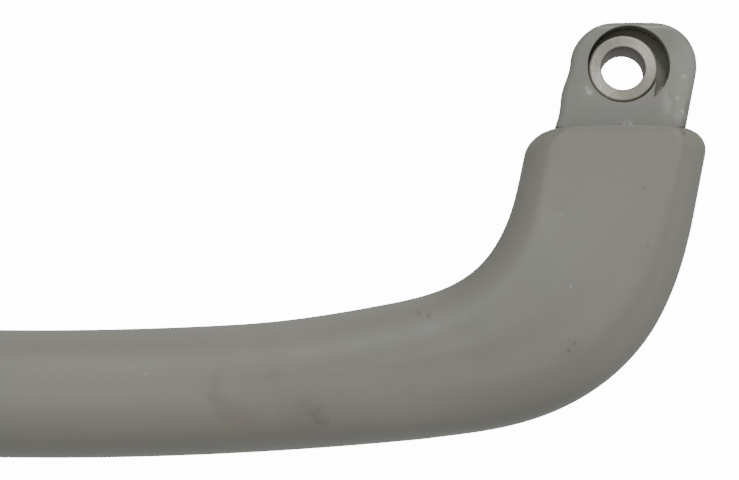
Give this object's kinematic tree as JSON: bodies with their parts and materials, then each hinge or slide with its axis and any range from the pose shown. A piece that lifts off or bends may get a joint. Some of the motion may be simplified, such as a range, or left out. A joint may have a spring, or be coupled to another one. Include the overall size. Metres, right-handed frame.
{
  "type": "pillar grab handle",
  "caption": "C-shaped grab handle for a vehicle pillar: a moulded oval grip on wide leaning legs, each ending in a thinner rounded tab with a steel-sleeved bolt hole.",
  "frame": {"origin": "midway between the two bolt holes, on the pillar's face, which is the back of the tabs", "axes": "+X along the handle, +Y from the grip to the tabs, +Z out of the pillar along the bolts"},
  "size_m": [0.2846, 0.0923, 0.021],
  "materials": {
    "moulding": "fine satin grain",
    "sleeve_steel": "turned, dull"
  },
  "bodies": {
    "root": {"moulded_handle": "moulding", "sleeve_left": "sleeve_steel", "sleeve_right": "sleeve_steel"}
  },
  "joints": []
}
